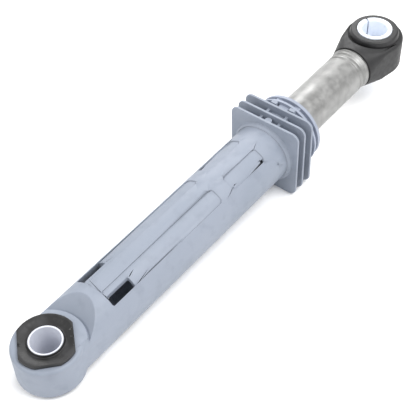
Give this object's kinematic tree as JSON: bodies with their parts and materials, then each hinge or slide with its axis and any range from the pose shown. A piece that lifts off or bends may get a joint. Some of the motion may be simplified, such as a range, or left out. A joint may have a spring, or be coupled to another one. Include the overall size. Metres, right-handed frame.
{
  "type": "friction damper",
  "caption": "Telescopic friction damper with a finned plastic housing, a steel tube that slides in it and a rubber-bushed eye at each end.",
  "frame": {"origin": "centre of the lower eye's bore, halfway along it", "axes": "+X along the damper to the upper eye, +Z along the bores of both eyes"},
  "size_m": [0.2767, 0.0384, 0.0384],
  "materials": {
    "housing_plastic": "matte moulded",
    "cap_plastic": "matte moulded",
    "head_plastic": "matte moulded",
    "ring_nylon": "satin",
    "greased_foam": "open-pored, greased",
    "bush_rubber": "moulded",
    "lower_sleeve_nylon": "satin",
    "upper_sleeve_nylon": "satin",
    "zinc_steel": "dull zinc plated"
  },
  "bodies": {
    "housing_side": {"housing": "housing_plastic", "guide_ring": "ring_nylon", "friction_lining": "greased_foam", "end_cap": "cap_plastic", "lower_bush": "bush_rubber", "lower_sleeve": "lower_sleeve_nylon"},
    "slider": {"wear_ring": "ring_nylon"},
    "rod_side": {"rod_tube": "zinc_steel", "upper_eye": "head_plastic", "upper_bush": "bush_rubber", "upper_sleeve": "upper_sleeve_nylon"}
  },
  "joints": [
    {"name": "rod_slide", "type": "slide", "parent": "housing_side", "child": "slider", "axis": [1, 0, 0], "range_m": [-0.045, 0.039]},
    {"name": "rod_spin", "type": "hinge", "parent": "slider", "child": "rod_side", "pos_m": [0.11, 0, 0], "axis": [1, 0, 0], "continuous": true}
  ]
}
